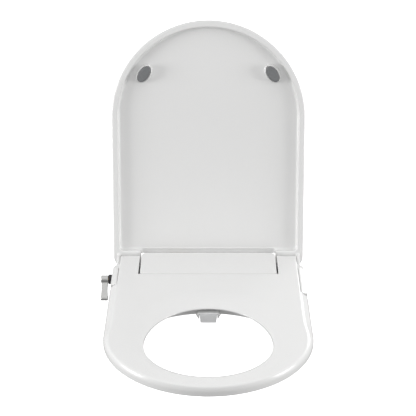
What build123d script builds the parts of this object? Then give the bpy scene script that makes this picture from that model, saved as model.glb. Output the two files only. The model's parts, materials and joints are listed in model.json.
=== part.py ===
from build123d import *
import math
import os

# Bidet toilet seat, millimetres. X is across the seat, -Y is towards the sitter, +Z is up.
# The origin is midway between the two mounting bolts, on the plane of the toilet bowl's rim.

# ---- driving dimensions ----
LID_WIDTH = 370.0
LID_LENGTH = 467.0           # hinge axis to the lid's front edge
LID_OPEN_ANGLE = 101.9       # from closed to leaning on its stop, degrees
AXIS_Y = 42.0                # hinge axis behind the mounting bolts
AXIS_Z = 15.0                # hinge axis above the bowl
SEAT_WIDTH = 368.0
SEAT_TOP = 30.0              # height of the sitting surface above the bowl
SEAT_BOTTOM = 12.0           # lower edge of the seat's skirt
OPENING_WIDTH = 223.0
OPENING_REAR = 130.0         # opening's rear half length
OPENING_FRONT = 105.0        # opening's front half length
OPENING_Y = -277.0           # where the opening is widest
PANEL_WIDTH = 259.0
PANEL_REAR = 58.0
PANEL_FRONT = -27.0
WING_WIDTH = 365.0
BOLT_SPACING = 155.0
BOLT_ADJUSTMENT = 15.0       # each way along X

# ---- shared sizes ----
WALL = 2.5
SHELL = 4.0
EAR_INNER = 132.5
EAR_OUTER = 169.5
EAR_RADIUS = 14.8
LUG_INNER = 171.0
LUG_OUTER = 177.0
LUG_RADIUS = 14.0
SHAFT_RADIUS = 4.0
RUNNING = 0.06               # radial clearance of a running fit
DECK_TOP = 24.8              # top of the base under the seat
WING_TOP = 27.5
WING_REAR = 22.0
SHOULDER_REAR = 3.0          # rear end of the wings' raised shoulders
WING_FRONT_LEFT = -64.0
WING_FRONT_RIGHT = -98.0
NEST_GAP = 2.5               # between the base and the seat's underside walls
POCKET_X = 104.0             # half size of the pocket over the mounting plate
POCKET_Y = 31.0
POCKET_ROOF = 8.5
VALVE_Y = -20.0
VALVE_Z = 13.3
NOZZLE_SLOPE = math.radians(14)
NOZZLE_RADIUS = 4.3
NOZZLE_X = 7.0

os.makedirs("parts", exist_ok=True)


# ---- helpers ----
def box(x0, x1, y0, y1, z0, z1):
    """Box between two corners."""
    solid = Box(x1 - x0, y1 - y0, z1 - z0)
    return Pos((x0 + x1) / 2, (y0 + y1) / 2, (z0 + z1) / 2) * solid


def rod_x(radius, x0, x1, y, z):
    """Round bar along X."""
    return Pos((x0 + x1) / 2, y, z) * Rot(0, 90, 0) * Cylinder(radius, abs(x1 - x0))


def rod_y(radius, y0, y1, x, z):
    """Round bar along Y."""
    return Pos(x, (y0 + y1) / 2, z) * Rot(90, 0, 0) * Cylinder(radius, abs(y1 - y0))


def rod_z(radius, z0, z1, x, y):
    """Round bar along Z."""
    return Pos(x, y, (z0 + z1) / 2) * Cylinder(radius, abs(z1 - z0))


def prism(face, z0, z1):
    """Upright prism on a face drawn in the XY plane."""
    return Pos(0, 0, z0) * extrude(face, z1 - z0)


def side_prism(points, x0, x1):
    """Prism along X on a polygon given as (y, z) points."""
    wire = Polyline(*[(x0, y, z) for y, z in points], close=True)
    return extrude(make_face(wire), x1 - x0, dir=(1, 0, 0))


def front_prism(points, y0, y1):
    """Prism along Y on a polygon given as (x, z) points."""
    wire = Polyline(*[(x, y0, z) for x, z in points], close=True)
    return extrude(make_face(wire), y1 - y0, dir=(0, 1, 0))


def save(name, *solids):
    """Write one node, of one solid or of several separate ones."""
    flat = []
    for item in solids:
        flat += item.solids()
    shape = flat[0] if len(flat) == 1 else Compound(flat)
    export_step(shape, f"parts/{name}.step")


# ---- outlines ----
def d_outline(half_width, rear, front, rear_radius):
    """D shape: straight sides, a half-round front and square or rounded rear corners."""
    middle = front + half_width
    body = Pos(0, (rear + middle) / 2) * Rectangle(2 * half_width, rear - middle)
    if rear_radius:
        body = fillet(body.vertices().group_by(Axis.Y)[-1], rear_radius)
    return body + Pos(0, middle) * Circle(half_width)


def opening_outline(grow=0.0):
    """Egg-shaped opening: a longer half ellipse behind a shorter one."""
    half = OPENING_WIDTH / 2 + grow
    rear = Ellipse(half, OPENING_REAR + grow) & Pos(0, 100) * Rectangle(400, 200)
    front = Ellipse(half, OPENING_FRONT + grow) & Pos(0, -100) * Rectangle(400, 200)
    return Pos(0, OPENING_Y) * (rear + front)


def opening_cone(grow0, z0, grow1, z1):
    """Solid between the opening's outline grown by one amount at z0 and by another at z1."""
    return loft([Pos(0, 0, z0) * opening_outline(grow0), Pos(0, 0, z1) * opening_outline(grow1)])


BASE_ARC = 170.0             # radius of the base's hollow front edge
BASE_ARC_Y = -298.0
BASE_ARC_X = 100.0           # where that arc ends
BASE_ARC_END = BASE_ARC_Y + math.sqrt(BASE_ARC ** 2 - BASE_ARC_X ** 2)
WING_INNER = 165.0           # the wings' front ends run in to here


def base_outline():
    """Base seen from above: centre block, two wings, hollow front edge."""
    half = WING_WIDTH / 2
    centre = PANEL_WIDTH / 2
    corner = 18.0
    corners = [
        (BASE_ARC_X, BASE_ARC_END), (WING_INNER, WING_FRONT_RIGHT), (half, WING_FRONT_RIGHT),
        (half, WING_REAR), (centre, WING_REAR), (centre, PANEL_REAR),
        (-centre, PANEL_REAR), (-centre, WING_REAR), (-half, WING_REAR),
        (-half, WING_FRONT_LEFT), (-WING_INNER, WING_FRONT_LEFT), (-BASE_ARC_X, BASE_ARC_END),
    ]
    edges = [Line(a, b) for a, b in zip(corners, corners[1:])]
    edges.append(ThreePointArc(corners[-1], (0, BASE_ARC_Y + BASE_ARC), corners[0]))
    face = make_face(edges)
    rear_corners = [v for v in face.vertices() if abs(abs(v.X) - half) < 0.01 and v.Y > WING_REAR - 1]
    return fillet(rear_corners, corner)


# ---- lid, modelled closed and then swung open ----
RIM_BOTTOM = 33.0            # rim plane above the bowl when closed
LID_RECESS = 46.0
LID_TOP = 50.0
RIM_WIDTH = 12.0
LID_REAR = AXIS_Y + 12.5


def open_lid(solid):
    """Swing a piece of the closed lid up about the hinge axis."""
    hinge = Axis((0, AXIS_Y, AXIS_Z), (-1, 0, 0))
    return solid.rotate(hinge, LID_OPEN_ANGLE)


def lid_shell():
    """Tray-shaped lid with two hinge lugs outside the seat's ears."""
    half = LID_WIDTH / 2
    front = AXIS_Y - LID_LENGTH
    plate = prism(d_outline(half, LID_REAR, front, 20), RIM_BOTTOM, LID_TOP)
    plate = fillet(plate.edges().group_by(Axis.Z)[-1], 5)
    recess_rear = AXIS_Y - 20
    inner = d_outline(half - RIM_WIDTH, recess_rear, front + RIM_WIDTH, 8)
    plate -= prism(inner, RIM_BOTTOM - 1, LID_RECESS)
    # The middle of the rear edge is cut away over the hinge housing and the water inlet.
    centre = PANEL_WIDTH / 2 + 2
    plate -= box(-centre, centre, AXIS_Y - 12.5, LID_REAR + 1, RIM_BOTTOM - 1, LID_TOP + 1)
    plate -= box(-centre, centre, recess_rear - 1, LID_REAR + 1, RIM_BOTTOM - 1, LID_RECESS)
    # A slanted cut keeps the rear edge off the bowl when the lid stands open.
    slant = [(AXIS_Y + 10, RIM_BOTTOM - 1), (AXIS_Y + 20, RIM_BOTTOM - 1),
             (AXIS_Y + 20, LID_TOP + 1), (AXIS_Y + 6, LID_TOP + 1)]
    plate -= side_prism(slant, -half, half)
    for side in (-1, 1):
        x0, x1 = sorted((side * LUG_INNER, side * LUG_OUTER))
        lug = rod_x(LUG_RADIUS, x0, x1, AXIS_Y, AXIS_Z)
        web = [(AXIS_Y - LUG_RADIUS, AXIS_Z), (AXIS_Y + LUG_RADIUS, AXIS_Z),
               (AXIS_Y + 10, RIM_BOTTOM + 2), (AXIS_Y - LUG_RADIUS, RIM_BOTTOM + 2)]
        lug += side_prism(web, x0, x1)
        plate += lug
        plate -= rod_x(SHAFT_RADIUS, side * (LUG_INNER - 1), side * (LUG_OUTER - 2), AXIS_Y, AXIS_Z)
    for centre_pos, angle in bumper_places():
        pillar = Pos(*centre_pos) * Rot(0, 0, angle) * Ellipse(19, 12)
        plate += prism(pillar, RIM_BOTTOM + 2, LID_RECESS + 1)
    return plate


def bumper_places():
    """Centres and turns of the two oval lid bumpers."""
    return [((side * 122.0, AXIS_Y - 366.0), side * 50.0) for side in (-1, 1)]


def lid_bumpers():
    """Oval rubber pads that meet the seat when the lid is shut."""
    pads = []
    for centre_pos, angle in bumper_places():
        oval = Pos(*centre_pos) * Rot(0, 0, angle) * Ellipse(17, 10)
        pads.append(prism(oval, SEAT_TOP + 0.5, RIM_BOTTOM + 2))
    return pads


def lid_shaft():
    """Left damper's turning shaft, fixed in the lid's left lug."""
    return rod_x(SHAFT_RADIUS, 2 - LUG_OUTER, -112, AXIS_Y, AXIS_Z)


def lid_pin():
    """Right pivot pin, fixed in the lid's right lug."""
    return rod_x(SHAFT_RADIUS, 156, LUG_OUTER - 2, AXIS_Y, AXIS_Z)


# ---- seat ----
SEAT_FRONT = -424.0
EDGE_ROUND = 12.0
LIP_BOTTOM = 19.0            # underside of the ring at the opening's edge
LIP_WIDTH = 13.0             # over which it slopes down to the skirt's level
COVER_INSET = LIP_WIDTH + 3  # from the opening to the lower cover
DISH_WIDTH = 22.0            # the sitting surface slopes down to the opening over this
DISH_DEPTH = 7.5


def seat_outline(inset=0.0):
    """Outer edge of the seat ahead of its ears."""
    half = SEAT_WIDTH / 2 - inset
    return d_outline(half, PANEL_FRONT - 1.5, SEAT_FRONT + inset, 0)


def nest_space(z0, z1):
    """Room that the base takes up under the seat, with clearance."""
    return prism(offset(base_outline(), NEST_GAP, kind=Kind.INTERSECTION), z0, z1)


def wing_space():
    """Room for the raised wings outside the seat's top."""
    cut = []
    for side, front in ((-1, WING_FRONT_LEFT), (1, WING_FRONT_RIGHT)):
        x0, x1 = sorted((side * 170.0, side * 200.0))
        cut.append(box(x0, x1, front - 2, 100, 0, SEAT_TOP + 1))
    return cut


def seat_shell():
    """Hollow seat ring with two ears that carry the hinge."""
    body = prism(seat_outline(), SEAT_BOTTOM, SEAT_TOP)
    outer_edge = [e for e in body.edges().group_by(Axis.Z)[-1] if e.center().Y < PANEL_FRONT - 3]
    body = fillet(outer_edge, EDGE_ROUND)
    body -= prism(opening_outline(), 0, SEAT_TOP + 1)
    body -= opening_cone(LIP_WIDTH, SEAT_BOTTOM, 0, LIP_BOTTOM)
    body -= opening_cone(0, SEAT_TOP - DISH_DEPTH, DISH_WIDTH, SEAT_TOP)
    inside = seat_outline(SHELL) - opening_outline(COVER_INSET)
    body -= prism(inside, SEAT_BOTTOM - 1, SEAT_TOP - SHELL)
    body -= nest_space(0, SEAT_TOP - SHELL)
    for space in wing_space():
        body -= space
    # The lower edge at the opening's rear clears the nozzle guard.
    body -= box(-34, 34, -152, -120, 0, 19)
    for side in (-1, 1):
        x0, x1 = sorted((side * EAR_INNER, side * EAR_OUTER))
        ear = rod_x(EAR_RADIUS, x0, x1, AXIS_Y, AXIS_Z)
        ear += box(x0, x1, AXIS_Y - 13, AXIS_Y - 1, AXIS_Z, SEAT_TOP)
        arm_x1 = side * (EAR_OUTER + 0.5)
        a0, a1 = sorted((side * EAR_INNER, arm_x1))
        ear += box(a0, a1, PANEL_FRONT - 4, AXIS_Y - 8, SEAT_TOP - SHELL, SEAT_TOP)
        body += ear
        hole = 6.5 if side < 0 else SHAFT_RADIUS
        body -= rod_x(hole, x0 - 1, x1 + 1, AXIS_Y, AXIS_Z)
    body -= rod_x(6.5, 154, EAR_OUTER + 1, AXIS_Y, AXIS_Z)
    return body


def seat_cover():
    """Flat plate that closes the ring from below, ahead of the base."""
    face = seat_outline(SHELL) - opening_outline(COVER_INSET)
    plate = prism(face, SEAT_BOTTOM, SEAT_BOTTOM + WALL)
    plate -= nest_space(0, SEAT_TOP)
    plate -= box(-34, 34, -156, -100, 0, SEAT_TOP)
    for space in wing_space():
        plate -= space
    return max(plate.solids(), key=lambda s: s.volume)


def seat_bumpers():
    """Four rubber feet under the ring, resting on the bowl."""
    feet = []
    for x, y, angle in ((135.5, -324.5, -58.0), (148.0, -200.0, 90.0)):
        for side in (-1, 1):
            oval = Pos(side * x, y) * Rot(0, 0, side * angle) * Ellipse(14, 9)
            feet.append(prism(oval, 0.0, SEAT_BOTTOM))
    return feet


def ear_bush(x0, x1):
    """Plain bearing in a seat ear."""
    return rod_x(6.5, x0, x1, AXIS_Y, AXIS_Z) - rod_x(SHAFT_RADIUS + RUNNING, x0, x1, AXIS_Y, AXIS_Z)


def seat_shaft():
    """Right damper's turning shaft, fixed in the seat's right ear."""
    return rod_x(SHAFT_RADIUS, 112, 153, AXIS_Y, AXIS_Z)


# ---- base ----
LID_DAMPER = (-127.0, -84.0)
SEAT_DAMPER = (84.0, 127.0)
DAMPER_RADIUS = 8.5
DECK_UNDER = DECK_TOP - WALL
BLOCK_HALF = 6.0
GUARD_X = 16.6               # half the gap between the guard's cheeks
SCREWS = [(118, -14), (-118, -2), (60, -60), (-60, -60), (150, -70), (-120, -80)]
SUMP_X = 17.0
INLET_X = -60.0
INLET_Z = 9.0
INLET_RADIUS = 7.1           # of the 9/16 inch thread
INLET_BORE = 4.5
LATCH_Y = 8.0
BUTTON_Y = (-12.3, 4.3)
BUTTON_Z = (7.7, 18.3)
SPRING_Y = -6.0


def nozzle_height(y):
    """Height of the nozzle axes at a given Y."""
    return -13.6 + math.tan(NOZZLE_SLOPE) * (y + 148)


def along_nozzle(solid, y, x=0.0):
    """Place a solid built along +Y so that it lies on the nozzle axis from a given Y."""
    return Pos(x, y, nozzle_height(y)) * Rot(math.degrees(NOZZLE_SLOPE), 0, 0) * solid


def base_housing():
    """Open-topped pan with walls, roofed pocket, damper seats and screw bosses."""
    outline = base_outline()
    centre = PANEL_WIDTH / 2
    pan = prism(outline, 0, DECK_UNDER)
    pan -= prism(offset(outline, -WALL, kind=Kind.INTERSECTION), WALL, DECK_UNDER + 1)
    block = box(-centre, centre, PANEL_FRONT, PANEL_REAR, WALL, SEAT_TOP - 3)
    inner = box(WALL - centre, centre - WALL, PANEL_FRONT + WALL, PANEL_REAR - WALL, WALL, SEAT_TOP)
    crossing = box(WALL - centre, centre - WALL, PANEL_FRONT - 1, PANEL_FRONT + 5, WALL, DECK_UNDER)
    side_way = box(-centre - 1, centre + 1, PANEL_FRONT - 1, WING_REAR - WALL, WALL, DECK_UNDER)
    pan += block - inner
    pan -= crossing + side_way
    roof = box(-POCKET_X - 2, POCKET_X + 2, -POCKET_Y - 2, POCKET_Y + 2, 0, POCKET_ROOF + 2)
    pan += roof - box(-POCKET_X, POCKET_X, -POCKET_Y, POCKET_Y, -1, POCKET_ROOF)
    pan -= box(-POCKET_X, POCKET_X, -POCKET_Y, POCKET_Y, -1, POCKET_ROOF)
    for x, y in SCREWS:
        pan += rod_z(4, WALL, DECK_UNDER, x, y)
        pan -= rod_z(1.6, -1, DECK_UNDER + 1, x, y)
        pan -= rod_z(3.2, -1, 1.8, x, y)
    for start, end in (LID_DAMPER, SEAT_DAMPER):
        middle = (start + end) / 2
        for offset_x in (-14, 14):
            x = middle + offset_x
            saddle = box(x - 2, x + 2, AXIS_Y - 9, AXIS_Y + 9, WALL, AXIS_Z - 2)
            pan += saddle - rod_x(DAMPER_RADIUS, x - 3, x + 3, AXIS_Y, AXIS_Z)
    for side in (-1, 1):
        hole_start = side * (centre - WALL - 1)
        pan -= rod_x(SHAFT_RADIUS + RUNNING, hole_start, side * (centre + 1), AXIS_Y, AXIS_Z)
    # The nozzle block leaves through the front wall and the floor.
    pan -= box(-SUMP_X, SUMP_X, -130, -46, -1, WALL + 0.5)
    pan -= box(-SUMP_X, SUMP_X, -132, -120, -1, DECK_UNDER - 8)
    # Holes for the valve, the water inlet and the release button.
    pan -= rod_x(7.0, -WING_WIDTH / 2 - 1, -WING_WIDTH / 2 + WALL + 1, VALVE_Y, VALVE_Z)
    pan -= rod_y(6.0, PANEL_REAR - WALL - 1, PANEL_REAR + 1, INLET_X, INLET_Z)
    pan -= box(POCKET_X - 12, POCKET_X + 2.5, LATCH_Y - 5, LATCH_Y + 5, POCKET_ROOF - 1, POCKET_ROOF + 3)
    pan -= box(WING_WIDTH / 2 - WALL - 1, WING_WIDTH / 2 + 1, *BUTTON_Y, *BUTTON_Z)
    return pan


def deck_cover(x0, x1):
    """Cover of the base under the seat, between two X limits."""
    half = WING_WIDTH / 2
    centre = PANEL_WIDTH / 2
    cover = prism(base_outline(), DECK_UNDER, DECK_TOP)
    cover -= box(-centre - 0.2, centre + 0.2, PANEL_FRONT - 0.2, PANEL_REAR + 1, 0, SEAT_TOP)
    for side, front in ((-1, WING_FRONT_LEFT), (1, WING_FRONT_RIGHT)):
        a, b = sorted((side * (EAR_OUTER + 1.8), side * half))
        lip = prism(base_outline(), DECK_UNDER, WING_TOP) & box(a, b, front, SHOULDER_REAR, 0, SEAT_TOP)
        outer = lip.edges().group_by(Axis.Z)[-1]
        outer = [e for e in outer if abs(e.center().X) > EAR_OUTER + 3]
        cover += chamfer(outer, 3.5)
    return cover & box(x0, x1, -300, 100, 0, 40)


def top_cover():
    """Flush cover of the hinge housing."""
    centre = PANEL_WIDTH / 2
    middle = (PANEL_REAR + PANEL_FRONT) / 2
    face = Pos(0, middle) * Rectangle(PANEL_WIDTH, PANEL_REAR - PANEL_FRONT)
    face = fillet(face.vertices().group_by(Axis.Y)[-1], 8)
    face = fillet(face.vertices().group_by(Axis.Y)[0], 3)
    plate = prism(face, SEAT_TOP - 3, SEAT_TOP)
    plate = fillet(plate.edges().group_by(Axis.Z)[-1], 1)
    skirt = box(4 - centre, centre - 4, PANEL_FRONT + 4, PANEL_REAR - 4, SEAT_TOP - 6, SEAT_TOP - 3)
    skirt -= box(6 - centre, centre - 6, PANEL_FRONT + 6, PANEL_REAR - 6, SEAT_TOP - 7, SEAT_TOP - 3)
    return plate + skirt


def housing_screws():
    """Countersunk into the floor, up into the bosses."""
    return [rod_z(1.5, 1.8, DECK_UNDER - 1, x, y) + rod_z(3.0, 0.3, 1.8, x, y) for x, y in SCREWS]


def damper_body(start, end, side):
    """Soft-close damper barrel with a blind bore, open towards its side of the seat."""
    barrel = rod_x(DAMPER_RADIUS, start, end, AXIS_Y, AXIS_Z)
    return barrel - rod_x(SHAFT_RADIUS + RUNNING, side * 111, side * 128, AXIS_Y, AXIS_Z)


# ---- valve and lever ----
COLLAR_X = (-WING_WIDTH / 2 - 6.5, -WING_WIDTH / 2)
SPINDLE_RADIUS = 4.0


def valve_body():
    """Brass-bodied valve lying along X inside the left wing."""
    body = rod_x(9, -178, -140, VALVE_Y, VALVE_Z)
    body -= rod_x(7, -178.5, -146, VALVE_Y, VALVE_Z)
    for y in (VALVE_Y - 5, VALVE_Y + 5):
        body += rod_x(HOSE_RADIUS, -140.5, VALVE_OUTLET_X, y, VALVE_Z)
    return body + rod_y(HOSE_RADIUS, VALVE_Y + 8, VALVE_Y + 15, VALVE_INLET_X, VALVE_Z)


def valve_cartridge():
    """Pair of ceramic discs that the spindle turns, with its seal."""
    return rod_x(6.9, -158, -146.1, VALVE_Y, VALVE_Z)


def valve_spindle():
    """Spindle from the cartridge out through the collar."""
    return rod_x(SPINDLE_RADIUS, -199, -158.4, VALVE_Y, VALVE_Z)


def lever_collar():
    """Dark escutcheon ring on the wing's outer wall."""
    ring = rod_x(9.3, COLLAR_X[0], COLLAR_X[1], VALVE_Y, VALVE_Z)
    ring += rod_x(6.9, COLLAR_X[1], -178.2, VALVE_Y, VALVE_Z)
    return ring - rod_x(SPINDLE_RADIUS + RUNNING, -190, -170, VALVE_Y, VALVE_Z)


LEVER_X = (-203.5, -189.6)
LEVER_ANGLE = 45.0


def lever():
    """Hand lever: round hub, waisted blade and a flared grip bar."""
    x0, x1 = LEVER_X
    hub = rod_x(7.5, x0, x1, VALVE_Y, VALVE_Z)
    blade = [(x0 + 1, 0), (x0 + 2.6, -18), (x0 + 2.2, -32), (x0 + 0.5, -37),
             (x1 - 1.5, -37), (x1 - 2.2, -30), (x1 - 2.2, -18), (x1 - 0.5, 0)]
    wire = Polyline(*[(x, y, -3.5) for x, y in blade], close=True)
    arm = extrude(make_face(wire), 7.0, dir=(0, 0, 1))
    grip = Pos((x0 + x1) / 2 - 0.5, -38, 0) * Box(x1 - x0 - 1.5, 8, 9)
    grip = fillet(grip.edges().filter_by(Axis.X), 3)
    arm = Pos(0, VALVE_Y, VALVE_Z) * Rot(LEVER_ANGLE, 0, 0) * (arm + grip)
    body = hub + arm - rod_x(SPINDLE_RADIUS, -199, x1 + 1, VALVE_Y, VALVE_Z)
    return body - rod_x(1.5, x0 - 1, x1, VALVE_Y, VALVE_Z)


def lever_screw():
    """Grub screw that holds the lever on its spindle."""
    return rod_x(1.5, LEVER_X[0] + 0.5, -199, VALVE_Y, VALVE_Z)


# ---- water path ----
HOSE_RADIUS = 2.6
HOSE_BEND = 6.0
VALVE_INLET_X = -152.0
VALVE_OUTLET_X = -134.0


def inlet_connector():
    """Threaded water inlet through the housing's rear wall."""
    body = rod_y(INLET_RADIUS, PANEL_REAR, PANEL_REAR + 12, INLET_X, INLET_Z)
    body += rod_y(6.0, PANEL_REAR - 10, PANEL_REAR, INLET_X, INLET_Z)
    body += rod_y(HOSE_RADIUS, PANEL_REAR - 14, PANEL_REAR - 10, INLET_X, INLET_Z)
    return body - rod_y(INLET_BORE, PANEL_REAR - 7, PANEL_REAR + 13, INLET_X, INLET_Z)


def inlet_filter():
    """Mesh disc in the inlet's mouth."""
    return rod_y(INLET_BORE - 0.1, PANEL_REAR - 6.9, PANEL_REAR - 5, INLET_X, INLET_Z)


def hose(*points):
    """Flexible inner tube along straight runs and round bends."""
    path = FilletPolyline(*points, radius=HOSE_BEND)
    start = Plane(origin=path @ 0, z_dir=path % 0)
    return sweep(start * Circle(HOSE_RADIUS), path)


def inlet_hose():
    """From the inlet up over the pocket's roof and round to the valve."""
    turn_y = 12.0
    start_y = PANEL_REAR - 14
    over_roof = POCKET_ROOF + 2 + HOSE_RADIUS + 0.5
    rise = [(INLET_X, start_y, INLET_Z), (INLET_X, start_y - 2, INLET_Z), (INLET_X, start_y - 9.5, over_roof)]
    end = (VALVE_INLET_X, VALVE_Y + 15, VALVE_Z)
    return hose(*rise, (INLET_X, turn_y, over_roof), (VALVE_INLET_X, turn_y, VALVE_Z), end)


def wash_hose(valve_y, nozzle_x, run):
    """From one valve outlet to the rear of one nozzle's cylinder."""
    end = Vector(nozzle_x, BLOCK_REAR, nozzle_height(BLOCK_REAR))
    turn = end + Vector(0, math.cos(NOZZLE_SLOPE), math.sin(NOZZLE_SLOPE)) * run
    return hose((VALVE_OUTLET_X, valve_y, VALVE_Z), (-100, valve_y, VALVE_Z), turn, end)


# ---- nozzles ----
BLOCK_REAR = -36.0
BLOCK_FRONT = -122.0
NOZZLE_TIP = -128.0
BLOCK_LENGTH = (BLOCK_REAR - BLOCK_FRONT) / math.cos(NOZZLE_SLOPE)
GUIDE = 10.0                 # length of the bush that guides each nozzle
PISTON_RADIUS = 5.2


def nozzle_block():
    """Twin cylinder: each nozzle is a piston pushed out by water."""
    half = NOZZLE_X + BLOCK_HALF + 0.5
    block = Pos(0, BLOCK_LENGTH / 2, 0) * Box(2 * half, BLOCK_LENGTH, 2 * BLOCK_HALF)
    for x in (-NOZZLE_X, NOZZLE_X):
        guide = rod_y(NOZZLE_RADIUS + RUNNING, -1, GUIDE + 1, x, 0)
        cylinder = rod_y(PISTON_RADIUS + RUNNING, GUIDE, BLOCK_LENGTH - 3, x, 0)
        block = block - guide - cylinder
        block -= rod_y(1.8, BLOCK_LENGTH - 4, BLOCK_LENGTH + 1, x, 0)
    return along_nozzle(block, BLOCK_FRONT)


TIP_GAP = (BLOCK_FRONT - NOZZLE_TIP) / math.cos(NOZZLE_SLOPE)
TIP_LENGTH = 14.0
PISTON = 4.0


def nozzle_tube(x):
    """Nozzle tube with the piston at its rear end."""
    rear = BLOCK_LENGTH - 3.4
    tube = rod_y(NOZZLE_RADIUS, TIP_LENGTH - TIP_GAP, rear, x, 0)
    tube += rod_y(PISTON_RADIUS, rear - PISTON, rear, x, 0)
    tube -= rod_y(2.0, TIP_LENGTH - TIP_GAP - 1, rear + 1, x, 0)
    return along_nozzle(tube, BLOCK_FRONT)


def nozzle_tip(x, hole_count):
    """Spray tip with upward holes near its rounded end."""
    tip = rod_y(NOZZLE_RADIUS, -TIP_GAP, TIP_LENGTH - TIP_GAP, x, 0)
    tip = fillet(tip.edges().group_by(Axis.Y)[0], 2.0)
    for i in range(hole_count):
        tip -= rod_z(0.6, 1, NOZZLE_RADIUS + 1, x, 5.0 - TIP_GAP + 2.2 * i)
    return along_nozzle(tip, BLOCK_FRONT)


def nozzle_spring(x):
    """Return spring round the tube, drawn as its outer sleeve."""
    length = BLOCK_LENGTH - 3.4 - PISTON - GUIDE - 0.4
    sleeve = rod_y(PISTON_RADIUS - 0.05, GUIDE + 0.2, GUIDE + 0.2 + length, x, 0)
    sleeve -= rod_y(NOZZLE_RADIUS + 0.15, GUIDE, GUIDE + 1 + length, x, 0)
    return along_nozzle(sleeve, BLOCK_FRONT)


# ---- nozzle guard ----
GUARD_REAR = BASE_ARC_Y + BASE_ARC
GUARD_FRONT = -148.5
FLAP_PIN = (-146.6, 8.2)


def guard_hood():
    """Fixed hood with a cheek at each side of the flap."""
    outer, foot = 22.8, GUARD_X + 1.6
    arch = [(-18, 12), (18, 12), (outer, 8.5), (foot, -1.5), (GUARD_X, -1.5), (GUARD_X, 10.2),
            (-GUARD_X, 10.2), (-GUARD_X, -1.5), (-foot, -1.5), (-outer, 8.5)]
    hood = front_prism(arch, GUARD_FRONT, GUARD_REAR)
    taper = [(GUARD_FRONT - 1, -10), (GUARD_FRONT + 9, -10), (GUARD_FRONT + 2.5, 3),
             (GUARD_FRONT + 2.5, 6), (GUARD_FRONT - 1, 6)]
    hood -= side_prism(taper, -outer - 1, outer + 1)
    hood = fillet(hood.edges().filter_by(Axis.X).group_by(Axis.Z)[-1].sort_by(Axis.Y)[0], 1.5)
    hood -= prism(base_outline(), -20, SEAT_TOP)
    return hood - rod_x(1.0, -GUARD_X - 3, GUARD_X + 3, *FLAP_PIN)


def guard_flap():
    """Flap that hangs in front of the parked nozzles."""
    y, z = FLAP_PIN
    half, foot = GUARD_X - 0.4, GUARD_X - 2.4
    panel = front_prism([(-half, z), (half, z), (foot, -8.1), (-foot, -8.1)], y - 1.4, y + 1.2)
    panel += rod_x(1.6, -half, half, y, z)
    return panel - rod_x(1.0 + RUNNING, -GUARD_X, GUARD_X, y, z)


def guard_pin():
    """Steel pin that the flap hangs on."""
    return rod_x(1.0, -GUARD_X - 3, GUARD_X + 3, *FLAP_PIN)


# ---- mounting plate and its bolts ----
PLATE_TOP = 5.0
BOLT_RADIUS = 3.95           # over the thread
SHANK_RADIUS = 3.6           # plain part, through the bowl
BOLT_LENGTH = 62.0
BOWL_THICKNESS = 30.0
POST_X = 95.5                # catch post's inner face


def slot(x, width, length, z0, z1):
    """Straight slot along X with round ends."""
    return prism(Pos(x, 0) * SlotOverall(length, width), z0, z1)


def mounting_plate():
    """Plate on the bowl, with an adjusting slot for each bolt and a catch post."""
    plate = box(-100, 100, -27, 27, 0, PLATE_TOP)
    for side in (-1, 1):
        x = side * BOLT_SPACING / 2
        width = 2 * (BOLT_RADIUS + 0.6)
        plate -= slot(x, width, 2 * BOLT_ADJUSTMENT + width, -1, PLATE_TOP + 1)
        plate -= slot(x, 18, 2 * BOLT_ADJUSTMENT + 18, 3.0, PLATE_TOP + 1)
    post = box(POST_X, POST_X + 4, LATCH_Y - 4, LATCH_Y + 4, PLATE_TOP, 16.5)
    return plate + post - box(POST_X - 1, POST_X + 1.5, LATCH_Y - 5, LATCH_Y + 5, 12.2, 14.4)


def mounting_bolts():
    """Carriage bolts: head and square neck in the plate's slot, shank through the bowl, thread below."""
    bolts = []
    for side in (-1, 1):
        x = side * BOLT_SPACING / 2
        bolt = rod_z(8.0, 3.0, 6.5, x, 0)
        bolt += box(x - BOLT_RADIUS, x + BOLT_RADIUS, -BOLT_RADIUS, BOLT_RADIUS, 0, 3)
        bolt += rod_z(SHANK_RADIUS, -BOWL_THICKNESS, 0, x, 0)
        bolts.append(bolt + rod_z(BOLT_RADIUS, -BOLT_LENGTH, -BOWL_THICKNESS, x, 0))
    return bolts


def cone_washers():
    """Rubber washers under the bowl's rim."""
    return [
        Pos(side * BOLT_SPACING / 2, 0, -BOWL_THICKNESS - 5) * Cone(12, 8, 10, rotation=(180, 0, 0))
        - rod_z(BOLT_RADIUS, -60, 0, side * BOLT_SPACING / 2, 0)
        for side in (-1, 1)
    ]


def wing_nuts():
    """Plastic wing nuts that pull the washers up."""
    nuts = []
    top = -BOWL_THICKNESS - 10
    for side in (-1, 1):
        x = side * BOLT_SPACING / 2
        nut = rod_z(9, top - 10, top, x, 0)
        nut += box(x - 18, x + 18, -2, 2, top - 10, top - 1)
        nuts.append(nut - rod_z(BOLT_RADIUS, top - 20, top + 1, x, 0))
    return nuts


# ---- release button ----
def release_button():
    """Push button flush in the right wing's outer wall."""
    half = WING_WIDTH / 2
    (y0, y1), (z0, z1) = BUTTON_Y, BUTTON_Z
    face = box(half - 6, half + 0.3, y0 + 0.4, y1 - 0.4, z0 + 0.4, z1 - 0.4)
    return face + box(half - 6, half - WALL - 0.3, y0 - 1.5, y1 + 1.5, z0 - 1.5, z1 + 1.5)


def latch_bar():
    """Bar from the button to the catch, whose tongue faces the post's notch."""
    bar = box(POST_X - 7.5, WING_WIDTH / 2 - 6, LATCH_Y - 9, LATCH_Y - 5.5, 12, 16)
    bar += box(POST_X - 7.5, POST_X - 4.5, LATCH_Y - 9, LATCH_Y + 3, 12, 16)
    return bar + box(POST_X - 4.5, POST_X - 0.4, LATCH_Y - 3, LATCH_Y + 3, 12.6, 14)


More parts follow.
